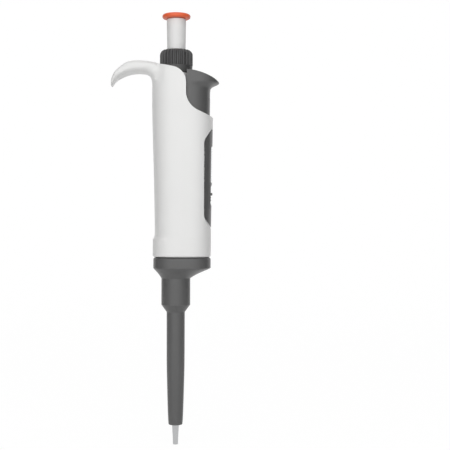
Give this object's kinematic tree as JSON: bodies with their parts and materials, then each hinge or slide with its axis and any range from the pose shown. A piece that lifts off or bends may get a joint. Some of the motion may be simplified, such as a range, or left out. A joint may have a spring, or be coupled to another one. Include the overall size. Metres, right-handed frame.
{
  "type": "pipette",
  "caption": "Adjustable single-channel pipette with finger hook, push button on a ribbed volume knob, display window, lock slider, tip ejector and slim steel nozzle.",
  "frame": {"origin": "on the plunger's axis, level with the underside of the finger hook, where a stand's fork carries the pipette", "axes": "+Z along the plunger's axis, from the nozzle to the push button; -X towards the finger hook; +X towards the display and the ejector's spur; +Y across the handle"},
  "size_m": [0.0578, 0.0274, 0.2297],
  "materials": {
    "white_shell": "fine satin moulding",
    "white_stem": "satin moulding",
    "orange_button": "satin moulding",
    "dark_trim": "fine-textured moulding",
    "clear_window": "clear acrylic",
    "black_frame": "glass-filled moulding",
    "acetal": "turned acetal",
    "white_drum": "moulded, printed digits",
    "steel": "turned stainless steel",
    "brass": "turned brass",
    "seal_plastic": "skived fluoropolymer",
    "rubber": "moulded"
  },
  "bodies": {
    "handle": {"handle_shell": "white_shell", "display_panel": "dark_trim", "window_lens": "clear_window", "chassis": "black_frame", "chassis_screw_near": "steel", "chassis_screw_far": "steel", "counter_frame": "black_frame", "counter_shaft": "steel", "pinion_shaft": "steel", "top_bush": "acetal", "lower_shaft": "black_frame", "nozzle": "steel", "shaft_nut": "black_frame", "piston_seal": "seal_plastic", "o_ring": "rubber", "seal_retainer": "acetal"},
    "knob": {"adjusting_knob": "dark_trim", "drive_sleeve": "acetal", "drive_gear": "brass", "knob_clip": "steel"},
    "carriage": {"overshoot_carriage": "acetal", "overshoot_spring": "steel"},
    "setting": {"setting_sleeve": "brass"},
    "stop": {"stop_bush": "steel"},
    "plunger": {"button_cap": "orange_button", "button_stem": "white_stem", "plunger_rod": "steel", "stop_collar": "steel", "piston_holder": "acetal", "piston": "steel", "plunger_spring": "steel"},
    "ejector": {"ejector_button": "dark_trim", "ejector_rod": "steel", "ejector_clip": "steel", "ejector_sleeve": "dark_trim", "ejector_spring": "steel"},
    "lock": {"lock_slider": "dark_trim"},
    "tenths_drum": {"drum_tenths": "white_drum", "lock_wheel": "brass"},
    "units_drum": {"drum_units": "white_drum"},
    "tens_drum": {"drum_tens": "white_drum"},
    "lower_pinion": {"carry_pinion_lower": "acetal"},
    "upper_pinion": {"carry_pinion_upper": "acetal"}
  },
  "joints": [
    {"name": "knob_turn", "type": "hinge", "parent": "handle", "child": "knob", "pos_m": [0, 0, 0.0022], "axis": [0, 0, 1], "range_deg": [-3420, 0]},
    {"name": "overshoot", "type": "slide", "parent": "handle", "child": "carriage", "axis": [0, 0, -1], "range_m": [0, 0.003], "stiffness_N_per_m": 2000, "springref_m": -0.003, "deforming": ["overshoot_spring"]},
    {"name": "setting_turn", "type": "hinge", "parent": "carriage", "child": "setting", "pos_m": [0, 0, -0.084], "axis": [0, 0, 1], "range_deg": [-3420, 0]},
    {"name": "stop_lift", "type": "slide", "parent": "carriage", "child": "stop", "axis": [0, 0, 1], "range_m": [0, 0.0114]},
    {"name": "plunge", "type": "slide", "parent": "carriage", "child": "plunger", "axis": [0, 0, -1], "range_m": [0, 0.012], "stiffness_N_per_m": 250, "springref_m": -0.01, "deforming": ["plunger_spring"]},
    {"name": "eject", "type": "slide", "parent": "handle", "child": "ejector", "axis": [0, 0, -1], "range_m": [0, 0.0085], "stiffness_N_per_m": 400, "springref_m": -0.01, "deforming": ["ejector_spring"]},
    {"name": "lock_slide", "type": "slide", "parent": "handle", "child": "lock", "axis": [0, 0, 1], "range_m": [0, 0.002]},
    {"name": "tenths_turn", "type": "hinge", "parent": "handle", "child": "tenths_drum", "pos_m": [0.01, 0, -0.0565], "axis": [0, 0, 1], "range_deg": [0, 3420]},
    {"name": "units_turn", "type": "hinge", "parent": "handle", "child": "units_drum", "pos_m": [0.01, 0, -0.0501], "axis": [0, 0, 1], "range_deg": [0, 342]},
    {"name": "tens_turn", "type": "hinge", "parent": "handle", "child": "tens_drum", "pos_m": [0.01, 0, -0.0437], "axis": [0, 0, 1], "range_deg": [0, 34.2]},
    {"name": "lower_pinion_turn", "type": "hinge", "parent": "handle", "child": "lower_pinion", "pos_m": [0.00732, -0.00737, -0.0501], "axis": [0, 0, 1], "range_deg": [-855, 0]},
    {"name": "upper_pinion_turn", "type": "hinge", "parent": "handle", "child": "upper_pinion", "pos_m": [0.00732, -0.00737, -0.0437], "axis": [0, 0, 1], "range_deg": [-85.5, 0]}
  ],
  "couplings": [
    {"joint": "setting_turn", "follows": "knob_turn", "ratio": 1},
    {"joint": "stop_lift", "follows": "knob_turn", "m_per_rad": -0.00019099},
    {"joint": "tenths_turn", "follows": "knob_turn", "ratio": -1},
    {"joint": "units_turn", "follows": "knob_turn", "ratio": -0.1},
    {"joint": "tens_turn", "follows": "knob_turn", "ratio": -0.01},
    {"joint": "lower_pinion_turn", "follows": "knob_turn", "ratio": 0.25},
    {"joint": "upper_pinion_turn", "follows": "knob_turn", "ratio": 0.025}
  ]
}
